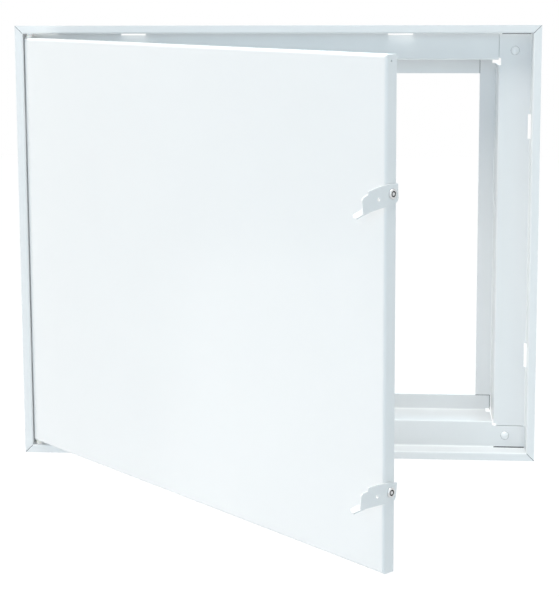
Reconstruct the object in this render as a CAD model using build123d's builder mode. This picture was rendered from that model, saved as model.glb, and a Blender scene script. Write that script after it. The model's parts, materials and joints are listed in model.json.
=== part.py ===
"""Hinged steel access panel: a folded four-sided frame, a pan door on two pivot pins and two edge latches.

Millimetres. +X is right, +Y runs into the wall, +Z is up, and the panel faces -Y.
The origin is the middle of the sill flange's back face, so the wall surface is the plane y = 0.
The door stands open at OPEN_ANGLE, as it rests.
"""

import os
from math import asin, cos, radians, sin
from types import SimpleNamespace

from build123d import *

# Frame section, measured on the faces that show
OPENING_WIDTH = 602.0
OPENING_HEIGHT = 504.0
SHEET = 1.5
BEND_RADIUS = 2.0
FLANGE_WIDTH = 9.5
RECESS_DEPTH = 24.0
JAMB_STOP_WIDTH = 38.0
RAIL_STOP_WIDTH = 32.0
RETURN_DEPTH = 50.0
LIP_WIDTH = 19.0

# Frame corners
MITRE_GAP = 0.3
CORNER_GAP = 1.5
LIP_GAP = 0.3
END_SLIT = 1.8
SIDE_SLIT = 0.8
TIGHT_GAP = 0.3
JOGGLE_RUN = 0.6
RAIL_TAB_INSET = 5.5
JAMB_TAB_INSET = 0.3
JAMB_START_PAST = 2.3
UNDER_MARGIN = 3.0
NOTCH_LENGTH = 6.5
NOTCH_IN_STOP = 2.6
NOTCH_IN_LIP = 4.0
NOTCH_BEFORE_LIP = 9.0
SLOT_LENGTH = 29.5
SLOT_IN_STOP = 2.8
SLOT_IN_RETURN = 5.0
JAMB_SLOT_HEIGHTS = (-136.5, 141.0)
HEAD_SLOT_PLACES = (-172.0, 147.0)

# Corner rivets
RIVET_HEAD_DIAMETER = 10.0
RIVET_HEAD_HEIGHT = 3.0
RIVET_DOME_BANDS = 2
RIVET_SHANK_DIAMETER = 4.8
RIVET_TAIL_DIAMETER = 6.8
RIVET_TAIL_HEIGHT = 3.0
RIVET_CLEARANCE = 0.05
RIVET_SETBACK = 5.0
RIVET_IN_RAIL = 14.5
RIVET_IN_JAMB = 19.0

# Door pan
HINGE_GAP = 2.2
LATCH_GAP = 9.5
TOP_GAP = 5.0
DOOR_DEPTH = 14.0
DOOR_SHEET = 1.2
DOOR_BEND_RADIUS = 3.0
DOOR_LIP = 14.0
DOOR_LIP_GAP = 0.8
OPEN_ANGLE = 43.1
EDGE_HOLE_DIAMETER = 2.2
EDGE_HOLE_FROM_TOP = 6.0

# Pivot pins
AXIS_FROM_EDGE = 5.0
AXIS_FROM_FACE = 5.5
PIN_DIAMETER = 4.0
PIN_CLEARANCE = 0.08
PIN_REACH = 9.0
PIN_SHOULDER_DIAMETER = 7.0
PIN_SHOULDER_HEIGHT = 1.2
COLLAR_DIAMETER = 8.0
COLLAR_PLAY = 0.2

# Edge latches
LATCH_SHEET = 1.5
LATCH_HEIGHTS = {"upper": 365.7, "lower": 80.3}
LATCH_TILTS = {"upper": -8.1, "lower": 3.2}
LATCH_REAR = 7.4
LATCH_REAR_LEAN = 1.3
LATCH_FRONT = 40.0
LATCH_TOP = 10.2
LATCH_BOTTOM = 9.7
LATCH_TOP_CROWN = 2.0
LATCH_NOTCH_FROM_FRONT = 9.0
LATCH_NOTCH_STEP = 3.3
LATCH_NOSE_DROP = 4.8
LATCH_NOSE_LENGTH = 2.0
LATCH_CORNER_RADIUS = 5.5
LATCH_HOLE_PLACE = (18.5, -0.9)
LATCH_HOLE_DIAMETER = 3.6
TOE_WIDTH = 10.0
TOE_REAR = 32.0
TOE_TIP = 49.5
TOE_CHAMFER = 6.0
TOE_DROP = 8.0

# Latch screws, washers and nuts
SCREW_DIAMETER = 4.0
SCREW_CLEARANCE = 0.08
SCREW_HEAD_DIAMETER = 10.0
SCREW_HEAD_HEIGHT = 1.8
SCREW_SOCKET_WIDTH = 4.0
SCREW_SOCKET_DEPTH = 1.2
SCREW_END = 1.0
WASHER_DIAMETER = 11.0
WASHER_THICKNESS = 0.5
LATCH_PLAY = 0.1
NUT_WIDTH = 7.0
NUT_THICKNESS = 3.2

# Places that follow from the sizes above
FRONT = -SHEET
STOP_FACE = FRONT + RECESS_DEPTH
LIP_FACE = STOP_FACE + RETURN_DEPTH
SILL_TOP = FLANGE_WIDTH / 2
CENTRE_HEIGHT = SILL_TOP + OPENING_HEIGHT / 2
HEAD_UNDERSIDE = SILL_TOP + OPENING_HEIGHT
DOOR_WIDTH = OPENING_WIDTH - HINGE_GAP - LATCH_GAP
DOOR_HEIGHT = OPENING_HEIGHT - 2 * TOP_GAP
AXIS_X = -OPENING_WIDTH / 2 + HINGE_GAP + AXIS_FROM_EDGE
AXIS_Y = FRONT + AXIS_FROM_FACE
ALONG_DOOR = Vector(cos(radians(OPEN_ANGLE)), -sin(radians(OPEN_ANGLE)), 0)
OUT_OF_DOOR = Vector(-sin(radians(OPEN_ANGLE)), -cos(radians(OPEN_ANGLE)), 0)
DOOR_MIDDLE = DOOR_WIDTH / 2 - AXIS_FROM_EDGE
DOOR_FREE_EDGE = DOOR_WIDTH - AXIS_FROM_EDGE
DOOR_BACK = AXIS_FROM_FACE - DOOR_DEPTH
SCREW_FROM_AXIS = AXIS_FROM_FACE - DOOR_DEPTH / 2

# Each frame member is one fold turned a quarter further round the opening. At its far end its stop laps
# over the next member's, and at its near end it slips under the last one's.
RAIL = SimpleNamespace(
    run=OPENING_WIDTH, across=OPENING_HEIGHT, stop=RAIL_STOP_WIDTH, end_stop=JAMB_STOP_WIDTH,
    tab_inset=RAIL_TAB_INSET, lap_inset=JAMB_TAB_INSET, start_past=-TIGHT_GAP,
    side_slit=SIDE_SLIT, end_slit=TIGHT_GAP, rivet_in=RIVET_IN_RAIL, lap_rivet_in=RIVET_IN_JAMB,
)
JAMB = SimpleNamespace(
    run=OPENING_HEIGHT, across=OPENING_WIDTH, stop=JAMB_STOP_WIDTH, end_stop=RAIL_STOP_WIDTH,
    tab_inset=JAMB_TAB_INSET, lap_inset=RAIL_TAB_INSET, start_past=JAMB_START_PAST,
    side_slit=0.0, end_slit=END_SLIT, rivet_in=RIVET_IN_JAMB, lap_rivet_in=RIVET_IN_RAIL,
)
MEMBERS = {
    "sill_rail": (RAIL, Vector(1, 0, 0), ()),
    "right_jamb": (JAMB, Vector(0, 0, 1), JAMB_SLOT_HEIGHTS),
    "head_rail": (RAIL, Vector(-1, 0, 0), [-place for place in HEAD_SLOT_PLACES]),
    "left_jamb": (JAMB, Vector(0, 0, -1), [-height for height in JAMB_SLOT_HEIGHTS]),
}
RIVETS = {
    "sill_rail": "lower_right_rivet",
    "right_jamb": "upper_right_rivet",
    "head_rail": "upper_left_rivet",
    "left_jamb": "lower_left_rivet",
}
PINS = {
    "sill_rail": ("lower_pivot_pin", "lower_pivot_collar"),
    "head_rail": ("upper_pivot_pin", "upper_pivot_collar"),
}

os.makedirs("parts", exist_ok=True)


def save(piece, name):
    """Label a finished piece and write it under its node's name."""
    piece.part.label = name
    export_step(piece.part, f"parts/{name}.step")


def folded(points, radius):
    """The closed outline of a folded sheet that lies behind the line of its visible face."""
    with BuildLine(Plane.XY) as fold:
        FilletPolyline(*points, radius=radius)
        offset(amount=SHEET, side=Side.RIGHT)
    return fold.edges()


for member_name, (side, along, slots) in MEMBERS.items():
    inward = Vector(0, -1, 0).cross(along)
    foot = Vector(0, 0, CENTRE_HEIGHT) - inward * (side.across / 2)
    section = Plane(origin=foot, x_dir=inward, z_dir=along)
    front = Plane(origin=foot, x_dir=along, z_dir=(0, -1, 0))
    edge_on = Plane(origin=foot, x_dir=along, z_dir=inward)
    stop_plane = front.offset(-STOP_FACE)
    stop = side.stop
    half_run = side.run / 2
    half_inner = half_run - side.end_stop
    fold_start = half_inner + side.start_past
    fold_end = half_inner - CORNER_GAP
    over_end = half_run - side.end_slit
    over_edge = stop - side.tab_inset
    lap_edge = half_inner + side.lap_inset
    under_edge = stop - UNDER_MARGIN
    return_fold = [(-FLANGE_WIDTH, -FRONT), (0, -FRONT), (0, -STOP_FACE)]
    align_low = (Align.MIN, Align.MIN)
    with BuildPart() as member:
        # Flange and first return run the whole side, and are mitred at both ends
        with BuildSketch(section):
            make_face(folded([*return_fold[:2], (0, BEND_RADIUS - STOP_FACE)], BEND_RADIUS))
        extrude(amount=half_run + FLANGE_WIDTH, both=True)
        for end in (-1, 1):
            mitre_start = half_run - MITRE_GAP / 2
            with BuildSketch(stop_plane):
                with BuildLine():
                    Polyline(
                        (end * mitre_start, 0),
                        (end * (mitre_start + FLANGE_WIDTH), -FLANGE_WIDTH),
                        (end * (half_run + 2 * FLANGE_WIDTH), -FLANGE_WIDTH),
                        (end * (half_run + 2 * FLANGE_WIDTH), 0),
                        close=True,
                    )
                make_face()
            extrude(amount=RECESS_DEPTH, mode=Mode.SUBTRACT)

        # The whole fold runs between the inner corners
        with BuildSketch(section.offset(-fold_start)):
            make_face(folded([
                *return_fold,
                (stop, -STOP_FACE),
                (stop, -LIP_FACE),
                (stop + LIP_WIDTH, -LIP_FACE),
            ], BEND_RADIUS))
        extrude(amount=fold_start + fold_end)

        # At the far end the stop carries on over the corner, slit from its return or folded with it
        over_start = fold_end - BEND_RADIUS
        slit_start = half_inner if side.side_slit else over_end
        with BuildSketch(section.offset(over_start)):
            make_face(folded([*return_fold, (over_edge, -STOP_FACE)], BEND_RADIUS))
        extrude(amount=slit_start - over_start)
        if side.side_slit:
            with BuildSketch(stop_plane):
                with Locations((over_start, side.side_slit)):
                    Rectangle(over_end - over_start, over_edge - side.side_slit, align=align_low)
            extrude(amount=-SHEET)

        # At the near end it runs up to the last member's stop, and steps back behind it by one sheet
        under_start = -fold_start + BEND_RADIUS
        step_start = -lap_edge + JOGGLE_RUN
        if step_start < -fold_start:
            with BuildSketch(section.offset(step_start)):
                make_face(folded([*return_fold, (under_edge, -STOP_FACE)], BEND_RADIUS))
            extrude(amount=under_start - step_start)
        with BuildSketch(edge_on.offset(BEND_RADIUS)):
            with BuildLine():
                Polyline(
                    (under_start, STOP_FACE),
                    (step_start, STOP_FACE),
                    (-lap_edge, STOP_FACE + SHEET),
                    (-half_run - SHEET, STOP_FACE + SHEET),
                    (-half_run - SHEET, STOP_FACE + 2 * SHEET),
                    (-lap_edge, STOP_FACE + 2 * SHEET),
                    (step_start, STOP_FACE + SHEET),
                    (under_start, STOP_FACE + SHEET),
                    close=True,
                )
            make_face()
        extrude(amount=under_edge - BEND_RADIUS)
        # with a strip that closes the slit beside the last member's return
        with BuildSketch(stop_plane.offset(-SHEET)):
            with Locations((-half_run - SHEET, -SHEET)):
                Rectangle(side.end_stop + SHEET - side.lap_inset, under_edge + SHEET, align=align_low)
        extrude(amount=-SHEET)

        # There the back lip ends short of the last member's, which runs on to meet the inner return
        with BuildSketch(front.offset(-LIP_FACE - 2 * SHEET)):
            with Locations((-half_inner - 2 * SHEET, stop)):
                Rectangle(2 * SHEET + LIP_WIDTH + LIP_GAP, LIP_WIDTH + CORNER_GAP, align=align_low)
        extrude(amount=BEND_RADIUS + 3 * SHEET, mode=Mode.SUBTRACT)
        with BuildSketch(front.offset(-LIP_FACE)):
            with Locations((over_start, stop + NOTCH_IN_LIP)):
                Rectangle(half_inner - LIP_GAP - over_start, LIP_WIDTH - NOTCH_IN_LIP, align=align_low)
        extrude(amount=-SHEET)

        # Relief notch where the far end's folds stop: right through a jamb's, only at the back of a rail's
        if side.side_slit:
            notch_front = LIP_FACE - NOTCH_BEFORE_LIP
            notch_low, notch_high = stop - BEND_RADIUS, stop + BEND_RADIUS
        else:
            notch_front = STOP_FACE - SHEET
            notch_low, notch_high = stop - NOTCH_IN_STOP, stop + NOTCH_IN_LIP
        with BuildSketch(front.offset(-notch_front)):
            with Locations((half_inner - NOTCH_LENGTH, notch_low)):
                Rectangle(NOTCH_LENGTH + BEND_RADIUS, notch_high - notch_low, align=align_low)
        extrude(amount=notch_front - LIP_FACE - 2 * SHEET, mode=Mode.SUBTRACT)

        # Anchor slots through the bend at the foot of the first return
        for place in slots:
            with BuildSketch(stop_plane.offset(SLOT_IN_RETURN)):
                with Locations((place, -2 * SHEET)):
                    Rectangle(SLOT_LENGTH, SLOT_IN_STOP + 2 * SHEET, align=(Align.CENTER, Align.MIN))
            extrude(amount=-SLOT_IN_RETURN - 2 * SHEET, mode=Mode.SUBTRACT)

        # One rivet hole at each end
        rivet_place = half_run - side.end_stop / 2 - RIVET_SETBACK
        lap_place = (side.lap_rivet_in - half_run, stop / 2 + RIVET_SETBACK)
        with Locations(stop_plane):
            with Locations((rivet_place, side.rivet_in), lap_place):
                Hole(radius=RIVET_SHANK_DIAMETER / 2 + RIVET_CLEARANCE)
        # and the pivot pin's hole in the head and the sill
        if member_name in PINS:
            pin_along = Vector(AXIS_X, 0, 0).dot(along)
            with Locations(Plane(edge_on.origin + along * pin_along + Vector(0, AXIS_Y, 0), z_dir=inward)):
                Cylinder(PIN_DIAMETER / 2 + RIVET_CLEARANCE, 4 * SHEET, mode=Mode.SUBTRACT)
    save(member, member_name)

    # The rivet sits where this member's stop laps its neighbour
    stack = 2 * SHEET
    crown = RIVET_HEAD_HEIGHT
    dome_radius = (RIVET_HEAD_DIAMETER**2 / 4 + crown**2) / (2 * crown)
    dome_turn = asin(RIVET_HEAD_DIAMETER / 2 / dome_radius) / RIVET_DOME_BANDS
    dome = [
        (dome_radius * sin(band * dome_turn), dome_radius * (1 - cos(band * dome_turn)) - crown)
        for band in range(RIVET_DOME_BANDS + 1)
    ]
    with BuildPart() as rivet:
        profile = Plane(
            origin=stop_plane.from_local_coords((rivet_place, side.rivet_in, 0)),
            x_dir=along,
            z_dir=inward,
        )
        with BuildSketch(profile):
            with BuildLine():
                Polyline(
                    *dome[:-1],
                    (RIVET_HEAD_DIAMETER / 2, 0),
                    (RIVET_SHANK_DIAMETER / 2, 0),
                    (RIVET_SHANK_DIAMETER / 2, stack),
                    (RIVET_TAIL_DIAMETER / 2, stack),
                    (RIVET_TAIL_DIAMETER / 2, stack + RIVET_TAIL_HEIGHT),
                    (0, stack + RIVET_TAIL_HEIGHT),
                    close=True,
                )
            make_face()
        revolve(axis=Axis(profile.origin, (0, 1, 0)))
    save(rivet, RIVETS[member_name])

# Shouldered pivot pins, each fixed flush in the frame and reaching into the door, with a collar between
for member_name, (pin_name, collar_name) in PINS.items():
    up = 1 if member_name == "sill_rail" else -1
    seat_height = SILL_TOP if up > 0 else HEAD_UNDERSIDE
    frame_seat = Plane(origin=(AXIS_X, AXIS_Y, seat_height), z_dir=(0, 0, up))
    with BuildPart() as pin:
        with BuildSketch(frame_seat.offset(-SHEET)):
            Circle(PIN_DIAMETER / 2)
        extrude(amount=SHEET + TOP_GAP + DOOR_SHEET + PIN_REACH)
        with BuildSketch(frame_seat):
            Circle(PIN_SHOULDER_DIAMETER / 2)
        extrude(amount=PIN_SHOULDER_HEIGHT)
    save(pin, pin_name)
    with BuildPart() as collar:
        with BuildSketch(frame_seat.offset(PIN_SHOULDER_HEIGHT)):
            Circle(COLLAR_DIAMETER / 2)
            Circle(PIN_DIAMETER / 2 + RIVET_CLEARANCE, mode=Mode.SUBTRACT)
        extrude(amount=TOP_GAP - PIN_SHOULDER_HEIGHT - COLLAR_PLAY)
    save(collar, collar_name)

# The door stands on its own plane: x from the pivot to the free edge, y up, z out of its face
leaf = Plane(origin=(AXIS_X, AXIS_Y, CENTRE_HEIGHT), x_dir=ALONG_DOOR, z_dir=OUT_OF_DOOR)
edge = Plane(origin=leaf.from_local_coords((DOOR_FREE_EDGE, 0, SCREW_FROM_AXIS)), x_dir=OUT_OF_DOOR,
             z_dir=-ALONG_DOOR)
with BuildPart() as door:
    with BuildSketch(leaf.offset(DOOR_BACK)):
        with Locations((DOOR_MIDDLE, 0)):
            Rectangle(DOOR_WIDTH, DOOR_HEIGHT)
    extrude(amount=DOOR_DEPTH)
    door_face = door.faces().sort_by(Axis(leaf.origin, OUT_OF_DOOR))[-1]
    fillet(door_face.edges(), DOOR_BEND_RADIUS)
    back_face = door.faces().sort_by(Axis(leaf.origin, OUT_OF_DOOR))[0]
    offset(amount=-DOOR_SHEET, openings=back_face)
    with BuildSketch(leaf.offset(DOOR_BACK)):
        with Locations((DOOR_MIDDLE, 0)):
            Rectangle(DOOR_WIDTH, DOOR_HEIGHT)
            Rectangle(DOOR_WIDTH - 2 * DOOR_LIP, DOOR_HEIGHT - 2 * DOOR_LIP, mode=Mode.SUBTRACT)
            # The lips are mitred where they meet
            slit_start = 2 * DOOR_SHEET
            slit_end = DOOR_LIP + DOOR_LIP_GAP
            slit_inset = slit_start + slit_end
            slit_length = 2**0.5 * (slit_end - slit_start)
            for across, up in ((-1, -1), (1, -1), (1, 1), (-1, 1)):
                with Locations((across * (DOOR_WIDTH - slit_inset) / 2, up * (DOOR_HEIGHT - slit_inset) / 2)):
                    Rectangle(slit_length, DOOR_LIP_GAP, rotation=45 * across * up, mode=Mode.SUBTRACT)
    extrude(amount=DOOR_SHEET)
    # Pivot holes in the top and bottom returns
    with Locations(Plane(origin=leaf.origin, z_dir=(0, 0, 1))):
        Cylinder(PIN_DIAMETER / 2 + PIN_CLEARANCE, DOOR_HEIGHT + 1, mode=Mode.SUBTRACT)
    # Screw holes in the free edge
    for height in LATCH_HEIGHTS.values():
        screw_hole = edge.from_local_coords((0, height - DOOR_HEIGHT / 2, 0))
        with Locations(Plane(origin=screw_hole, z_dir=ALONG_DOOR)):
            Cylinder(SCREW_DIAMETER / 2 + SCREW_CLEARANCE, 4 * DOOR_SHEET, mode=Mode.SUBTRACT)
    # and a small hanging hole near its top
    hanging_hole = edge.from_local_coords((0, DOOR_HEIGHT / 2 - EDGE_HOLE_FROM_TOP, 0))
    with Locations(Plane(origin=hanging_hole, z_dir=ALONG_DOOR)):
        Cylinder(EDGE_HOLE_DIAMETER / 2, 4 * DOOR_SHEET, mode=Mode.SUBTRACT)
save(door, "door_pan")

for place, height in LATCH_HEIGHTS.items():
    pivot = Plane(origin=edge.from_local_coords((0, height - DOOR_HEIGHT / 2, 0)), x_dir=OUT_OF_DOOR,
                  z_dir=-ALONG_DOOR)
    washer_face = pivot.offset(-WASHER_THICKNESS)
    plate_face = washer_face.offset(-LATCH_PLAY)
    head_seat = plate_face.offset(-LATCH_SHEET - LATCH_PLAY)

    with BuildPart() as washer:
        with BuildSketch(pivot):
            Circle(WASHER_DIAMETER / 2)
            Circle(SCREW_DIAMETER / 2 + SCREW_CLEARANCE, mode=Mode.SUBTRACT)
        extrude(amount=-WASHER_THICKNESS)
    save(washer, f"{place}_latch_washer")

    with BuildPart() as screw:
        with BuildSketch(head_seat):
            Circle(SCREW_HEAD_DIAMETER / 2)
        extrude(amount=-SCREW_HEAD_HEIGHT)
        with BuildSketch(head_seat.offset(-SCREW_HEAD_HEIGHT)):
            RegularPolygon(SCREW_SOCKET_WIDTH / 2, 6, major_radius=False)
        extrude(amount=SCREW_SOCKET_DEPTH, mode=Mode.SUBTRACT)
        with BuildSketch(head_seat):
            Circle(SCREW_DIAMETER / 2)
        grip = 2 * LATCH_PLAY + LATCH_SHEET + WASHER_THICKNESS + DOOR_SHEET
        extrude(amount=grip + NUT_THICKNESS + SCREW_END)
    save(screw, f"{place}_latch_screw")

    with BuildPart() as nut:
        with BuildSketch(pivot.offset(DOOR_SHEET)):
            RegularPolygon(NUT_WIDTH / 2, 6, major_radius=False)
            Circle(SCREW_DIAMETER / 2 + SCREW_CLEARANCE, mode=Mode.SUBTRACT)
        extrude(amount=NUT_THICKNESS)
    save(nut, f"{place}_latch_nut")

    tilt = radians(LATCH_TILTS[place])
    turned = Plane(origin=plate_face.origin, x_dir=OUT_OF_DOOR * cos(tilt) + Vector(0, 0, 1) * sin(tilt),
                   z_dir=plate_face.z_dir)
    notch = LATCH_FRONT - LATCH_NOTCH_FROM_FRONT
    with BuildPart() as lever:
        with BuildSketch(turned):
            with BuildLine():
                ThreePointArc(
                    (-LATCH_REAR - LATCH_REAR_LEAN, LATCH_TOP - LATCH_TOP_CROWN),
                    (notch / 3, LATCH_TOP),
                    (notch, LATCH_TOP - LATCH_TOP_CROWN / 3),
                )
                Polyline(
                    (notch, LATCH_TOP - LATCH_TOP_CROWN / 3),
                    (notch, LATCH_TOP - LATCH_NOTCH_STEP),
                    (LATCH_FRONT - LATCH_NOSE_LENGTH, LATCH_TOP - LATCH_NOSE_DROP),
                    (LATCH_FRONT, LATCH_TOP - LATCH_NOSE_DROP - LATCH_NOSE_LENGTH),
                    (LATCH_FRONT, -LATCH_BOTTOM),
                    (-LATCH_REAR, -LATCH_BOTTOM),
                    (-LATCH_REAR - LATCH_REAR_LEAN, LATCH_TOP - LATCH_TOP_CROWN),
                )
            plate = make_face()
            fillet(plate.vertices().sort_by(Axis.X)[1], LATCH_CORNER_RADIUS)
            Circle(SCREW_DIAMETER / 2 + SCREW_CLEARANCE, mode=Mode.SUBTRACT)
            with Locations(LATCH_HOLE_PLACE):
                Circle(LATCH_HOLE_DIAMETER / 2, mode=Mode.SUBTRACT)
        extrude(amount=-LATCH_SHEET)
        # The toe is folded in from the lower edge, and runs on past the front with a slight drop
        drop = radians(TOE_DROP)
        toe = Plane(
            origin=turned.from_local_coords((TOE_REAR, -LATCH_BOTTOM, -LATCH_SHEET)),
            x_dir=turned.x_dir * cos(drop) - turned.y_dir * sin(drop),
            z_dir=-turned.y_dir * cos(drop) - turned.x_dir * sin(drop),
        )
        toe_length = TOE_TIP - TOE_REAR
        with BuildSketch(toe):
            with BuildLine():
                Polyline(
                    (0, 0),
                    (toe_length, 0),
                    (toe_length, TOE_WIDTH - TOE_CHAMFER),
                    (toe_length - TOE_CHAMFER, TOE_WIDTH),
                    (0, TOE_WIDTH),
                    close=True,
                )
            make_face()
        extrude(amount=-LATCH_SHEET)
    save(lever, f"{place}_latch_lever")
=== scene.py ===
# %% [markdown]
# # A white steel access panel
#
# The panel is a folded sheet-steel frame that sits in a wall opening, with a pan door that hangs on its left
# side and two small latches on the door's free edge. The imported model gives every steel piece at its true
# size. This lesson loads that model, gives each piece its finish, adds what is too small for the solids, and
# lights the panel for a catalogue picture on white.

import json
from math import cos, radians, sin

import bpy
import numpy as np
from mathutils import Matrix, Vector


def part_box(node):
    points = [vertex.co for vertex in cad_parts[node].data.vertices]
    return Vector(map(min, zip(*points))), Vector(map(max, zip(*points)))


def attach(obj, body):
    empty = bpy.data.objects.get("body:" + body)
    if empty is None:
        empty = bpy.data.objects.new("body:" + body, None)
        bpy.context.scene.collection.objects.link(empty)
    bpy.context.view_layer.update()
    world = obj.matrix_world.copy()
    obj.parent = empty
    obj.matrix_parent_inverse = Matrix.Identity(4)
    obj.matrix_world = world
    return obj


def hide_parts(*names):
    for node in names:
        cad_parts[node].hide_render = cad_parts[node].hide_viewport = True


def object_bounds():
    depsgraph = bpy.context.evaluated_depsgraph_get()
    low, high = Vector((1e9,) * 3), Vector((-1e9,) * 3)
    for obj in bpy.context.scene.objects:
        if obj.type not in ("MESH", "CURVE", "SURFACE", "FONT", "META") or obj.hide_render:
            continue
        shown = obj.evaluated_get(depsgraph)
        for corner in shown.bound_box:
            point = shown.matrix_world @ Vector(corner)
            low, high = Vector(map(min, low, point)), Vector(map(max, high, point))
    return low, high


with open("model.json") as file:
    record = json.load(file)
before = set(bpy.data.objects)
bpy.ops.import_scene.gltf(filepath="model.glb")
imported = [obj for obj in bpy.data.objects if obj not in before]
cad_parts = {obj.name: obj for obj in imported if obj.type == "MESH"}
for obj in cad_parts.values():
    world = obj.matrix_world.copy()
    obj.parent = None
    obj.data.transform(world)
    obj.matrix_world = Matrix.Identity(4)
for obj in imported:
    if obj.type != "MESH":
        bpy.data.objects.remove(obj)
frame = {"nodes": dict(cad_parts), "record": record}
cad_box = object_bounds()
nodes = frame["nodes"]
scene = bpy.context.scene
MM = 0.001
print("pieces loaded:", len(nodes))

# %% [markdown]
# ## Effects that several finishes share
#
# Baked powder coat is never quite flat: it dries to a faint skin of bumps, like the peel of an orange, each a
# millimetre or two across. Painted and plated steel also vary a little in tone from place to place. Both
# effects could be painted as images, but small node groups that read the piece's own coordinates stay sharp
# at any distance, and each finish can place them with values of its own.


# %% Helpers for nodes and node groups
def new_group(name, inputs, outputs):
    """An empty shader group with named inputs and outputs, all of them plain numbers."""
    group = bpy.data.node_groups.new(name, "ShaderNodeTree")
    for label in inputs:
        group.interface.new_socket(label, in_out="INPUT", socket_type="NodeSocketFloat")
    for label in outputs:
        group.interface.new_socket(label, in_out="OUTPUT", socket_type="NodeSocketFloat")
    return group, group.nodes.new("NodeGroupInput"), group.nodes.new("NodeGroupOutput")


def add_node(tree, kind, **settings):
    """A new node with its plain properties and its unlinked inputs set by name."""
    node = tree.nodes.new(kind)
    for label, value in settings.items():
        if hasattr(node, label):
            setattr(node, label, value)
        else:
            node.inputs[label.replace("_", " ")].default_value = value
    return node


# %% Orange peel and tone groups
def orange_peel_group():
    """Height = a soft noise of so many cells per metre, times a broad noise that varies its depth."""
    group, given, result = new_group("orange_peel", ["Cells per metre"], ["Height"])
    place = group.nodes.new("ShaderNodeTexCoord")
    skin = add_node(group, "ShaderNodeTexNoise", Detail=2.0, Roughness=0.45)
    depth = add_node(group, "ShaderNodeTexNoise", Scale=9.0, Detail=1.0)
    shaped = add_node(group, "ShaderNodeMath", operation="MULTIPLY")
    links = group.links
    links.new(place.outputs["Object"], skin.inputs["Vector"])
    links.new(place.outputs["Object"], depth.inputs["Vector"])
    links.new(given.outputs["Cells per metre"], skin.inputs["Scale"])
    links.new(skin.outputs["Fac"], shaped.inputs[0])
    links.new(depth.outputs["Fac"], shaped.inputs[1])
    links.new(shaped.outputs["Value"], result.inputs["Height"])
    return group


def tone_group():
    """Patch = a broad noise, and Tone = 1 less Spread times that noise."""
    group, given, result = new_group("tone", ["Patches per metre", "Spread"], ["Tone", "Patch"])
    place = group.nodes.new("ShaderNodeTexCoord")
    broad = add_node(group, "ShaderNodeTexNoise", Detail=3.0, Roughness=0.55)
    darker = add_node(group, "ShaderNodeMath", operation="MULTIPLY")
    tone = add_node(group, "ShaderNodeMath", operation="SUBTRACT")
    tone.inputs[0].default_value = 1.0
    links = group.links
    links.new(place.outputs["Object"], broad.inputs["Vector"])
    links.new(given.outputs["Patches per metre"], broad.inputs["Scale"])
    links.new(broad.outputs["Fac"], darker.inputs[0])
    links.new(given.outputs["Spread"], darker.inputs[1])
    links.new(darker.outputs["Value"], tone.inputs[1])
    links.new(tone.outputs["Value"], result.inputs["Tone"])
    links.new(broad.outputs["Fac"], result.inputs["Patch"])
    return group


ORANGE_PEEL = orange_peel_group()
TONE = tone_group()
print("shared effects:", ORANGE_PEEL.name, TONE.name)


# %% One material that wears both effects
def finish_material(name, colour, roughness, grain, patches):
    """Base colour = colour times Tone, roughness runs from low to high with Patch, and Height is a bump.

    roughness is (low, high), grain is (cells per metre, depth, strength) and patches is (per metre, spread).
    """
    low, high = roughness
    cells, depth, strength = grain
    per_metre, spread = patches
    material = bpy.data.materials.new(name)
    material.use_nodes = True
    tree = material.node_tree
    shader = tree.nodes["Principled BSDF"]
    peel = add_node(tree, "ShaderNodeGroup", node_tree=ORANGE_PEEL, Cells_per_metre=cells)
    tone = add_node(tree, "ShaderNodeGroup", node_tree=TONE, Patches_per_metre=per_metre, Spread=spread)
    tinted = add_node(tree, "ShaderNodeMix", data_type="RGBA", blend_type="MULTIPLY")
    tinted.inputs["Factor"].default_value = 1.0
    tinted.inputs["A"].default_value = (*colour, 1)
    rough = add_node(tree, "ShaderNodeMapRange", To_Min=low, To_Max=high)
    bump = add_node(tree, "ShaderNodeBump", Strength=strength, Distance=depth)
    links = tree.links
    links.new(tone.outputs["Tone"], tinted.inputs["B"])
    links.new(tinted.outputs["Result"], shader.inputs["Base Color"])
    links.new(tone.outputs["Patch"], rough.inputs["Value"])
    links.new(rough.outputs["Result"], shader.inputs["Roughness"])
    links.new(peel.outputs["Height"], bump.inputs["Height"])
    links.new(bump.outputs["Normal"], shader.inputs["Normal"])
    return material, shader


# %% [markdown]
# ## White powder coat
#
# Frame, door and levers all wear the same satin white coat. Its colour is kept a little under pure white, so
# that the folds still shade. One satin layer would do for the folds, but the door's wide face also mirrors
# its surroundings faintly, so a thin clear skin lies over the satin base. The rivets are painted whiter and
# glossier than the sheets; part of that whiteness is a painted highlight, standing in for the light their
# domes catch.

# %% Powder coat and rivet paint
PEEL_CELLS = 520.0
PEEL_STRENGTH = 0.35
COAT_PATCHES = 7.0
PATCH_SMOOTHER = 0.03
PATCH_ROUGHER = 0.05
CLEAR_SKIN = 0.5
CLEAR_SKIN_ROUGHNESS = 0.12


def coat_material(name, colour, roughness, peel_depth, spread):
    """The shared finish with orange peel and wide patches, under a thin clear skin."""
    material, shader = finish_material(
        name, colour, roughness=(roughness - PATCH_SMOOTHER, roughness + PATCH_ROUGHER),
        grain=(PEEL_CELLS, peel_depth, PEEL_STRENGTH), patches=(COAT_PATCHES, spread))
    shader.inputs["Coat Weight"].default_value = CLEAR_SKIN
    shader.inputs["Coat Roughness"].default_value = CLEAR_SKIN_ROUGHNESS
    return material


powder_coat = coat_material(
    "white_powder_coat", (0.88, 0.88, 0.88), roughness=0.34, peel_depth=0.06 * MM, spread=0.03)
# Whiter than the sheets: partly the rivets' own paint, partly a painted highlight.
rivet_paint_and_highlight = coat_material(
    "white_rivet", (0.96, 0.96, 0.96), roughness=0.22, peel_depth=0.03 * MM, spread=0.02)
print("coats:", powder_coat.name, rivet_paint_and_highlight.name)

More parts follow.
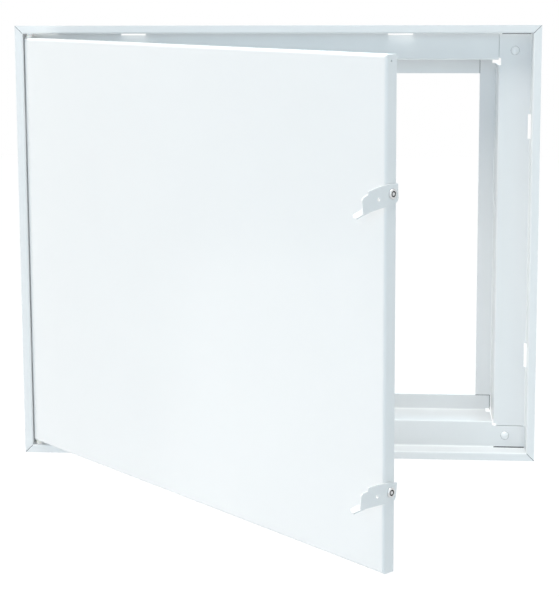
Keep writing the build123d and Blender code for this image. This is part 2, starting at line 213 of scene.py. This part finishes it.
# %% [markdown]
# ## Plated screws and nylon collars
#
# Screws, washers and nuts are bright zinc-plated steel: a grey metal with a fine grain and cloudy patches
# where the plating is thicker. The collars between door and frame are natural nylon, which is slightly
# translucent and has no grain to speak of. Both could be plain colours, but the shared finish gives them the
# small unevenness of real parts for the price of a few values.

# %% Plated steel and nylon
plated_steel, plated_shader = finish_material(
    "plated_steel", (0.78, 0.79, 0.8), roughness=(0.28, 0.48),
    grain=(4200.0, 0.02 * MM, 0.25), patches=(260.0, 0.35))
plated_shader.inputs["Metallic"].default_value = 1.0
nylon = coat_material("nylon", (0.84, 0.83, 0.79), roughness=0.48, peel_depth=0.02 * MM, spread=0.04)
nylon_shader = nylon.node_tree.nodes["Principled BSDF"]
nylon_shader.inputs["Subsurface Weight"].default_value = 0.15
nylon_shader.inputs["Subsurface Scale"].default_value = 1.5 * MM
print("metal and plastic:", plated_steel.name, nylon.name)

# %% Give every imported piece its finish
FINISHES = {
    "white_powder_coat": powder_coat,
    "white_rivet": rivet_paint_and_highlight,
    "plated_steel": plated_steel,
    "nylon": nylon,
}
for subpart in frame["record"]["subparts"]:
    node = nodes[subpart["node"]]
    node.data.materials.clear()
    node.data.materials.append(FINISHES[subpart["material_slot"]])

# %% [markdown]
# ## Rivets and screws, turned smooth
#
# A rivet's head is a low dome pressed by a die, and a screw's head is turned with a ring-shaped recess for a
# tamper-proof driver. The solids give them in a few flat bands. A lathe makes such shapes by carrying a
# profile round an axis, so the same is done here: the profile is a short table of radius and place along the
# axis, and every point of the surface follows from one array product.

# %% Turned surfaces
TURN_FACETS = 48
SHARP_FOLD = radians(40)
OFF_AXIS = (0.3, 0.2, 1.0)  # any direction that lies along no rivet or screw


def turned_piece(name, profile, centre, axis, materials, dark_rows):
    """Point = centre + along * axis + radius * (cos t * side + sin t * up), for each turn t round the axis.

    The profile lists (radius, along). Its first and last points lie on the axis and close the surface with a
    fan. The rows of faces in dark_rows, counted along the profile, wear the second material.
    """
    axis = np.asarray(axis, float)
    side = np.cross(axis, OFF_AXIS)
    side /= np.linalg.norm(side)
    up = np.cross(axis, side)
    turn = np.linspace(0, 2 * np.pi, TURN_FACETS, endpoint=False)
    spoke = np.outer(np.cos(turn), side) + np.outer(np.sin(turn), up)
    radius, along = np.asarray(profile, float).T
    rings = along[1:-1, None, None] * axis + radius[1:-1, None, None] * spoke
    poles = along[[0, -1], None] * axis
    points = np.concatenate([rings.reshape(-1, 3), poles]) + centre
    count = len(radius) - 2
    here = np.arange(TURN_FACETS)
    after = np.roll(here, -1)
    row = TURN_FACETS * np.arange(count - 1)[:, None]
    next_row = row + TURN_FACETS
    quads = np.stack([row + here, next_row + here, next_row + after, row + after], -1).reshape(-1, 4)
    last = TURN_FACETS * (count - 1)
    first_pole, last_pole = len(points) - 2, len(points) - 1
    first_fan = np.stack([np.full(TURN_FACETS, first_pole), here, after], -1)
    last_fan = np.stack([np.full(TURN_FACETS, last_pole), last + after, last + here], -1)
    mesh = bpy.data.meshes.new(name)
    mesh.from_pydata(points.tolist(), [], first_fan.tolist() + quads.tolist() + last_fan.tolist())
    for material in materials:
        mesh.materials.append(material)
    row_material = np.isin(np.arange(len(radius) - 1), dark_rows).astype(int)
    mesh.polygons.foreach_set("material_index", np.repeat(row_material, TURN_FACETS))
    mesh.shade_smooth()
    mesh.set_sharp_from_angle(angle=SHARP_FOLD)
    piece = bpy.data.objects.new(name, mesh)
    scene.collection.objects.link(piece)
    return piece


# %% Dome rivets
SHEET = 1.5 * MM
RIVET_CROWN = 3.0 * MM
RIVET_STACK = 2 * SHEET
RIVET_SHANK = 2.4 * MM
RIVET_TAIL = 3.4 * MM
CAP_POINTS = 16
CAP_SHARE = 0.985
TAIL_POINTS = 9
RING_WIDTH = 0.15 * MM
RING_INNER_LIFT = 0.12 * MM
RING_OUTER_LIFT = 0.04 * MM
RIM_SHADE_ROWS = (CAP_POINTS, CAP_POINTS + 1)
# A near-black finish of painted shade, for the rims of the rivet heads and the gaps between the sheets.
painted_joint_shade = coat_material(
    "painted_joint_shade", (0.035, 0.04, 0.045), roughness=0.6, peel_depth=0.02 * MM, spread=0.15)


def rivet_profile(head_radius, length):
    """A spherical cap, a thin ring of painted shade round its rim, the shank, and a tail like a barrel."""
    ball = (head_radius**2 + RIVET_CROWN**2) / (2 * RIVET_CROWN)
    lean = np.linspace(0, CAP_SHARE * np.arcsin(head_radius / ball), CAP_POINTS)
    cap = np.stack([ball * np.sin(lean), ball * (1 - np.cos(lean))], -1)
    ring_radius = head_radius + RING_WIDTH
    # A thin ring of painted shade round the head's rim, in the near-black finish.
    ring = [(head_radius, RIVET_CROWN - RING_INNER_LIFT), (ring_radius, RIVET_CROWN - RING_OUTER_LIFT),
            (ring_radius, RIVET_CROWN)]
    tail_start = RIVET_CROWN + RIVET_STACK
    shank = [(RIVET_SHANK, RIVET_CROWN), (RIVET_SHANK, tail_start)]
    bulge = np.linspace(0, np.pi, TAIL_POINTS)[1:]
    tail = np.stack([RIVET_SHANK + (RIVET_TAIL - RIVET_SHANK) * np.sin(bulge),
                     tail_start + (length - tail_start) * bulge / np.pi], -1)
    return np.concatenate([cap, ring, shank, tail, [(0, length)]])


rivets = [name for name in nodes if name.endswith("_rivet")]
for node_name in rivets:
    low, high = (np.array(corner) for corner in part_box(node_name))
    crown_point = np.array([(low[0] + high[0]) / 2, low[1], (low[2] + high[2]) / 2])
    profile = rivet_profile((high[0] - low[0]) / 2, high[1] - low[1])
    dome = turned_piece(
        f"{node_name}_dome", profile, crown_point, (0, 1, 0), [rivet_paint_and_highlight, painted_joint_shade], RIM_SHADE_ROWS)
    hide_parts(node_name)
    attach(dome, "frame")
print("dome rivets:", len(rivets))

# %% Latch screws
WASHER = 0.5 * MM
PLAY = 0.1 * MM
LEVER_SHEET = 1.5 * MM
DOOR_SHEET = 1.2 * MM
NUT = 3.2 * MM
SCREW_END = 1.0 * MM
SCREW_RADIUS = 2.0 * MM
POINT_RADIUS = 1.5 * MM
THREAD_PITCH = 0.7 * MM
THREAD_DEPTH = 0.22 * MM
HEAD_RADIUS = 5.0 * MM
HEAD_HEIGHT = 1.8 * MM
HEAD_SHOULDER = 1.0 * MM
HEAD_FACE = np.array([  # radius and height from the top, from the middle over the ring recess to the rim
    (0, -0.05), (0.9, -0.1), (1.65, -0.25), (1.75, -1.1), (2.85, -1.1), (2.95, -0.2), (3.3, 0), (4.1, -0.1),
    (4.7, -0.45)]) * MM
RECESS_ROWS = (3, 4)
# The faces of the ring recess wear near-black painted shade, standing in for the shade that falls in it.
recess_shadow = coat_material(
    "screw_recess_painted_shade", (0.012, 0.013, 0.014), roughness=0.5, peel_depth=0.02 * MM, spread=0.1)


def screw_profile():
    """From the head's middle over its ring recess and rim, then down the shank, whose thread is a saw wave."""
    seat = WASHER + 2 * PLAY + LEVER_SHEET
    rim = [(HEAD_RADIUS, -HEAD_SHOULDER), (HEAD_RADIUS, -HEAD_HEIGHT)]
    head = np.concatenate([HEAD_FACE, rim]) + (0, seat + HEAD_HEIGHT)
    end = -DOOR_SHEET - NUT - SCREW_END
    thread_along = np.arange(-DOOR_SHEET, end + THREAD_PITCH / 2, -THREAD_PITCH / 2)
    thread_radius = SCREW_RADIUS - THREAD_DEPTH * (np.arange(len(thread_along)) % 2)
    shank = [(SCREW_RADIUS, seat), *zip(thread_radius, thread_along), (POINT_RADIUS, end), (0, end)]
    return np.concatenate([head, shank])


joints = {joint["name"]: joint for joint in frame["record"]["behaviour"]["joints"]}
for place in ("upper", "lower"):
    joint = joints[f"{place}_latch_turn"]
    screw = turned_piece(
        f"{place}_turned_screw", screw_profile(), np.array(joint["pos_m"]), -np.array(joint["axis"]),
        [plated_steel, recess_shadow], RECESS_ROWS)
    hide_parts(f"{place}_latch_screw")
    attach(screw, "door")
    print(screw.name, "faces:", len(screw.data.polygons))

# %% [markdown]
# ## Joints between the folded sheets
#
# Where two folded sheets meet, the thin gaps fall into shade and read as dark lines: along the mitre of the
# flange at each corner, in the slit that lets each corner tab fold, and where the back lips meet. Deeper gaps
# would only show the white sheet behind them, so a near-black strip of painted shade is set in each one.
# The panel looks the same after half a turn about its middle, so the two right-hand corners are written down
# and the other two follow.

# %% Where the joints lie
cad_low, cad_high = np.array([list(corner) for corner in cad_box])
middle_height = (cad_low[2] + cad_high[2]) / 2
FLANGE = 9.5 * MM
opening_corner = np.array([cad_high[0], cad_high[2] - middle_height]) - FLANGE
STOP_DEPTH = 22.5 * MM
lip_depth = cad_high[1] - SHEET
HEAD_SLIT_START = 266.5 * MM
SILL_SLIT_START = 263.6 * MM
SLIT_END = 300.5 * MM
SILL_SLIT_DROP = 0.2 * MM
LIP_INNER = np.array([244.0, 201.0]) * MM
LIP_OUTER = np.array([261.5, 220.0]) * MM
print("opening, half width and half height:", opening_corner.round(4).tolist())

# %% Dark joint strips
MITRE_LINE = 0.5 * MM
HEAD_SLIT = 1.6 * MM
SILL_SLIT = 1.3 * MM
LIP_LINE = 0.6 * MM
MITRE_START = 0.4 * MM
MITRE_STOP = 0.3 * MM
MITRE_LIFT = 0.03 * MM
LIP_LIFT = 0.05 * MM
SLIT_SET_BACK = 0.5 * MM


def strip(start, end, width, depth):
    """A flat quad facing the room: the line from start to end, given width across it, at one depth."""
    start, end = np.asarray(start, float), np.asarray(end, float)
    run = (end - start) / np.linalg.norm(end - start)
    across = 0.5 * width * np.array([-run[1], run[0]])
    flat = np.array([start - across, end - across, end + across, start + across])
    return np.stack([flat[:, 0], np.full(4, depth), flat[:, 1]], -1)


mitre = strip(opening_corner + MITRE_START, opening_corner + FLANGE - MITRE_STOP, MITRE_LINE,
              -SHEET - MITRE_LIFT)
lower_mitre = mitre[::-1] * (1, 1, -1)
head_height = opening_corner[1] - HEAD_SLIT / 2
sill_height = -opening_corner[1] - SILL_SLIT_DROP
slit_depth = STOP_DEPTH + SLIT_SET_BACK
head_slit = strip((HEAD_SLIT_START, head_height), (SLIT_END, head_height), HEAD_SLIT, slit_depth)
sill_slit = strip((SILL_SLIT_START, sill_height), (SLIT_END, sill_height), SILL_SLIT, slit_depth)
lip_joints = [
    (LIP_INNER, (LIP_INNER[0], LIP_OUTER[1])),
    (LIP_INNER * (1, -1), (LIP_OUTER[0], -LIP_INNER[1])),
    (LIP_OUTER * (1, -1), (LIP_OUTER[0], -LIP_INNER[1])),
]
lip_lines = [strip(start, end, LIP_LINE, lip_depth - LIP_LIFT) for start, end in lip_joints]
strips = np.stack([mitre, lower_mitre, head_slit, sill_slit, *lip_lines])
half_turned = strips * (-1, 1, -1)
corners = np.concatenate([strips, half_turned]).reshape(-1, 3) + (0, 0, middle_height)
# Each strip is painted shade: a near-black sheet set where the gap shows only shade.
joint_mesh = bpy.data.meshes.new("joint_shade_strips")
joint_mesh.from_pydata(corners.tolist(), [], np.arange(len(corners)).reshape(-1, 4).tolist())
joint_mesh.materials.append(painted_joint_shade)
joint_shade_strips = bpy.data.objects.new("joint_shade_strips", joint_mesh)
scene.collection.objects.link(joint_shade_strips)
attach(joint_shade_strips, "frame")
print("joint strips:", len(joint_mesh.polygons))

# %% [markdown]
# ## Floor, background and light
#
# The panel is shown as a catalogue shows it: on plain white, lit softly from the upper left so that the door's
# face is the brightest plane, the frame's front a shade darker and the faces turned right darker again. A
# brighter floor and sky would also give a white background, but their light would wash out the folds, so the
# background is white by a light-path switch and the coat keeps its own colour. A large lamp at the upper left
# and one overhead do most of the work, three weaker ones lift the shaded faces, and one stands behind, so that
# the back of the panel is as plain to see as its front.

# %% White surroundings
FLOOR_HEIGHT = -0.70
FLOOR_HALF = 9.0
FLOOR_COLOUR = (0.9, 0.9, 0.9)
FLOOR_ROUGHNESS = 0.9
FLOOR_SHADOW_SHARE = 0.12
FLOOR_WHITE = 1.09
AMBIENT_COLOUR = (0.83, 0.91, 1.0)
AMBIENT_STRENGTH = 0.41


def seen_directly(tree):
    """A mask that is 1 for rays straight from the camera, in a mirror or through glass, and 0 for light."""
    path = tree.nodes.new("ShaderNodeLightPath")
    first = add_node(tree, "ShaderNodeMath", operation="MAXIMUM")
    both = add_node(tree, "ShaderNodeMath", operation="MAXIMUM")
    tree.links.new(path.outputs["Is Camera Ray"], first.inputs[0])
    tree.links.new(path.outputs["Is Glossy Ray"], first.inputs[1])
    tree.links.new(first.outputs["Value"], both.inputs[0])
    tree.links.new(path.outputs["Is Transmission Ray"], both.inputs[1])
    return both.outputs["Value"]


def white_floor():
    """A large flat sheet: pale and matt to the lamps, mostly plain white to the camera."""
    outline = FLOOR_HALF * np.array([(-1, -1, 0), (1, -1, 0), (1, 1, 0), (-1, 1, 0)], float)
    outline[:, 2] = FLOOR_HEIGHT
    mesh = bpy.data.meshes.new("floor")
    mesh.from_pydata(outline.tolist(), [], [(0, 1, 2, 3)])
    floor = bpy.data.objects.new("floor", mesh)
    scene.collection.objects.link(floor)
    material = bpy.data.materials.new("pale_floor")
    material.use_nodes = True
    tree = material.node_tree
    paint = tree.nodes["Principled BSDF"]
    paint.inputs["Base Color"].default_value = (*FLOOR_COLOUR, 1)
    paint.inputs["Roughness"].default_value = FLOOR_ROUGHNESS
    white = add_node(tree, "ShaderNodeEmission", Strength=FLOOR_WHITE)
    share = add_node(tree, "ShaderNodeMath", operation="MULTIPLY")
    share.inputs[1].default_value = 1 - FLOOR_SHADOW_SHARE
    blend = tree.nodes.new("ShaderNodeMixShader")
    tree.links.new(seen_directly(tree), share.inputs[0])
    tree.links.new(share.outputs["Value"], blend.inputs["Fac"])
    tree.links.new(paint.outputs["BSDF"], blend.inputs[1])
    tree.links.new(white.outputs["Emission"], blend.inputs[2])
    tree.links.new(blend.outputs["Shader"], tree.nodes["Material Output"].inputs["Surface"])
    mesh.materials.append(material)


def white_world():
    """Cool soft light from all round, and plain white where the camera looks past the panel."""
    world = bpy.data.worlds.new("studio")
    scene.world = world
    world.use_nodes = True
    tree = world.node_tree
    ambient = tree.nodes["Background"]
    ambient.inputs["Color"].default_value = (*AMBIENT_COLOUR, 1)
    ambient.inputs["Strength"].default_value = AMBIENT_STRENGTH
    white = add_node(tree, "ShaderNodeBackground", Strength=1.0)
    white.inputs["Color"].default_value = (1, 1, 1, 1)
    blend = tree.nodes.new("ShaderNodeMixShader")
    tree.links.new(seen_directly(tree), blend.inputs["Fac"])
    tree.links.new(ambient.outputs["Background"], blend.inputs[1])
    tree.links.new(white.outputs["Background"], blend.inputs[2])
    tree.links.new(blend.outputs["Shader"], tree.nodes["World Output"].inputs["Surface"])


white_floor()
white_world()
print("surroundings: floor at", FLOOR_HEIGHT, "m")

# %% Lamps
LAMPS = {  # place, aimed at, side length, watts, colour
    "window": ((-2.4, -0.5, 2.6), (0.1, 0.0, 0.25), 1.4, 46.0, (0.95, 0.9, 0.81)),
    "low": ((-1.3, -0.5, -0.4), (0.0, -0.2, 0.05), 0.9, 2.4, (1.0, 0.95, 0.9)),
    "front": ((-0.7, -3.8, 1.3), (0.05, 0.0, 0.25), 1.6, 23.5, (0.62, 0.86, 1.0)),
    "top": ((0.1, -0.6, 3.2), (0.05, -0.1, 0.25), 2.0, 66.0, (0.98, 1.0, 0.98)),
    "right": ((2.6, -2.6, 1.0), (0.1, -0.1, 0.25), 2.0, 11.0, (0.75, 1.0, 0.97)),
    "back": ((0.7, 3.6, 1.9), (0.0, 0.0, 0.25), 2.0, 36.0, (0.62, 0.88, 1.0)),
}


def add_lamp(name, place, target, side, watts, colour):
    """A square soft lamp at place, turned to face target."""
    lamp = bpy.data.lights.new(name, "AREA")
    lamp.shape = "SQUARE"
    lamp.size = side
    lamp.energy = watts
    lamp.color = colour
    holder = bpy.data.objects.new(name, lamp)
    holder.location = place
    holder.rotation_euler = (Vector(target) - Vector(place)).to_track_quat("-Z", "Y").to_euler()
    scene.collection.objects.link(holder)


for lamp_name, setting in LAMPS.items():
    add_lamp(lamp_name, *setting)
print("lamps:", ", ".join(LAMPS))

# %% [markdown]
# ## Camera
#
# The picture is taken from nearly two metres away, a little right of the middle and just above the panel's
# top, so the lens looks down on it. Its uprights stay almost parallel, which a plain tilt would not give, so
# part of the look down is a tilt and part a lens shift, which slides the picture area without turning the
# camera. The shift is kept small, because it moves the panel off centre in every other view.

# %% Camera
CAMERA_PLACE = Vector((0.12787, -1.77982, 0.57184))
CAMERA_TURN = radians(3.971)
CAMERA_TILT = radians(-7.558)
CAMERA_ROLL = radians(0.209)
PICTURE_SIZE = (559, 597)
FOCAL_PIXELS = 1512.1
AXIS_PIXEL = (279.5, 180.0)
SENSOR = 36.0
FARTHEST = 60.0


def add_camera():
    """A camera whose axis turns left, tilts and rolls by the angles above, its picture area slid off-axis."""
    level = cos(CAMERA_TILT)
    forward = Vector((-sin(CAMERA_TURN) * level, cos(CAMERA_TURN) * level, sin(CAMERA_TILT)))
    roll = Matrix.Rotation(CAMERA_ROLL, 3, forward)
    right = roll @ forward.cross(Vector((0, 0, 1))).normalized()
    up = right.cross(forward)
    lens = bpy.data.cameras.new("camera")
    long_side = max(PICTURE_SIZE)
    lens.sensor_width = SENSOR
    lens.lens = SENSOR * FOCAL_PIXELS / long_side
    lens.shift_x = (PICTURE_SIZE[0] / 2 - AXIS_PIXEL[0]) / long_side
    lens.shift_y = (AXIS_PIXEL[1] - PICTURE_SIZE[1] / 2) / long_side
    lens.clip_end = FARTHEST
    camera = bpy.data.objects.new("camera", lens)
    turned = Matrix((right, up, -forward)).transposed().to_4x4()
    camera.matrix_world = Matrix.Translation(CAMERA_PLACE) @ turned
    scene.collection.objects.link(camera)
    scene.camera = camera
    return camera


camera = add_camera()
scene.view_settings.view_transform = "Standard"
print("camera lens", round(camera.data.lens, 2), "shift", round(camera.data.shift_y, 4))
